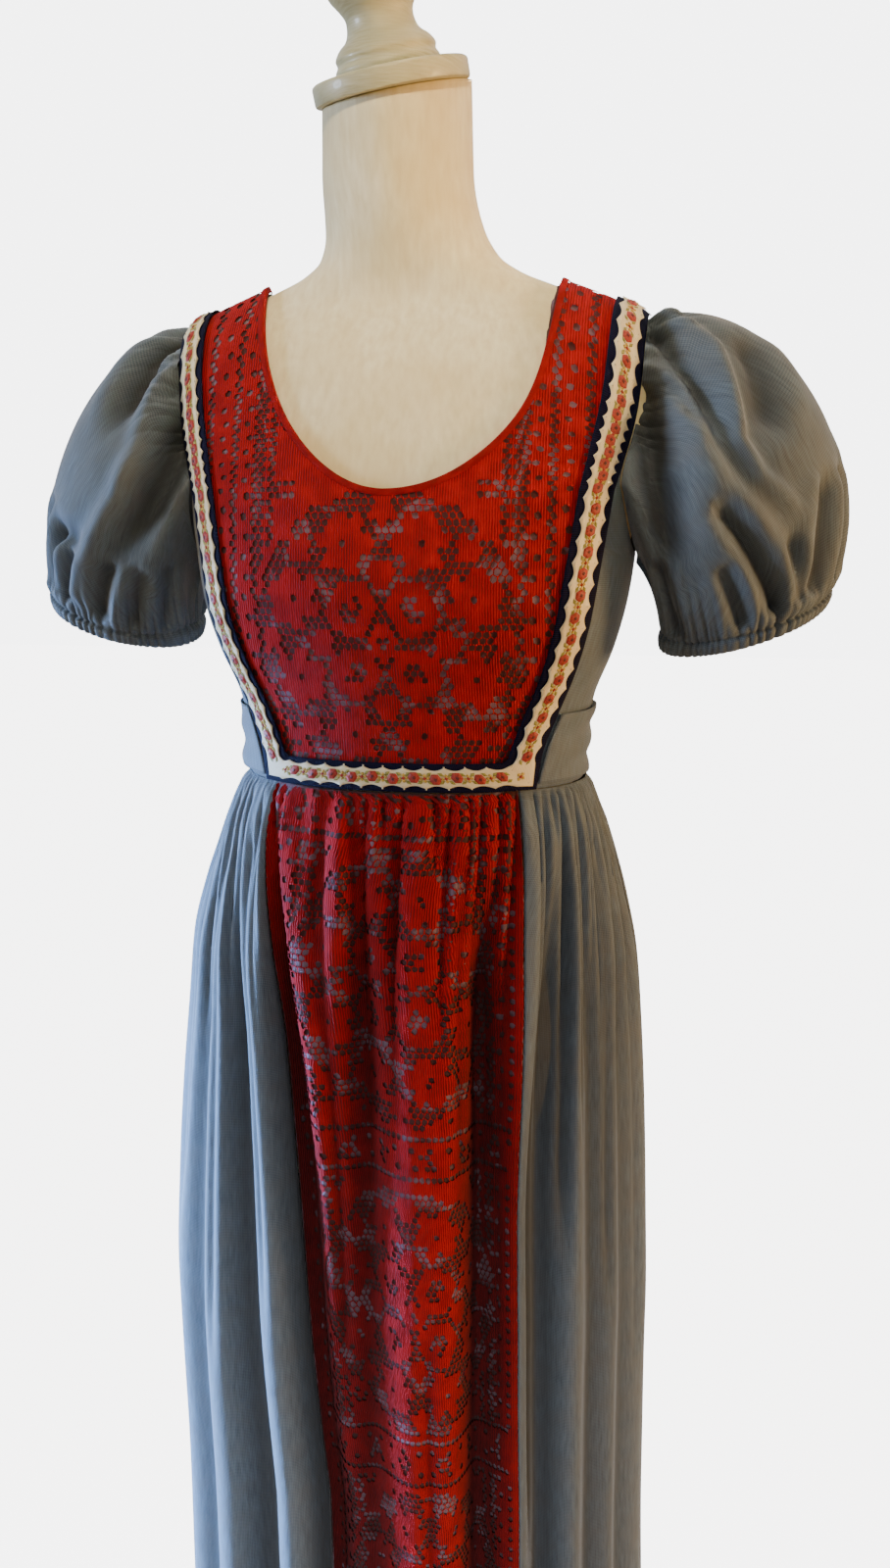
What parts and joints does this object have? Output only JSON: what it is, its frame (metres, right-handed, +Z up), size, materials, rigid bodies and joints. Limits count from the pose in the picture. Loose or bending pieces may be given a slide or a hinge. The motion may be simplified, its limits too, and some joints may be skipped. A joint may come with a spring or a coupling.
{
  "type": "maxi dress on dress form",
  "caption": "Floor-length dress with a red lace front panel, puff sleeves, rosebud braid and a tied sash, worn by a limbless dress form on a round stand.",
  "frame": {"origin": "on the floor, at the centre of the stand's base", "axes": "+Z up, -Y towards the front of the dress, +X towards the wearer's left"},
  "size_m": [0.5958, 0.37, 1.6625],
  "materials": {
    "chambray": "soft matte cotton",
    "lace": "matte ribbed lace",
    "navy_ribbon": "dull woven ribbon",
    "rosebud_braid": "woven braid with a slight sheen",
    "jersey": "close stretched jersey",
    "painted_wood": "cream satin paint",
    "steel": "brushed"
  },
  "bodies": {
    "root": {"bodice_front": "chambray", "bodice_side_left": "chambray", "bodice_side_right": "chambray", "bodice_back_left": "chambray", "bodice_back_right": "chambray", "sleeve_left": "chambray", "sleeve_right": "chambray", "skirt_front": "chambray", "skirt_side_left": "chambray", "skirt_side_right": "chambray", "skirt_back_left": "chambray", "skirt_back_right": "chambray", "sash_left": "chambray", "sash_right": "chambray", "sash_knot": "chambray", "sash_tail_left": "chambray", "sash_tail_right": "chambray", "bodice_front_lace": "lace", "skirt_front_lace": "lace", "ribbon_navy": "navy_ribbon", "braid_rosebud": "rosebud_braid", "form_torso": "jersey", "form_neck_cap": "painted_wood", "form_knob": "painted_wood", "form_base": "painted_wood", "form_pole": "steel"}
  },
  "joints": []
}
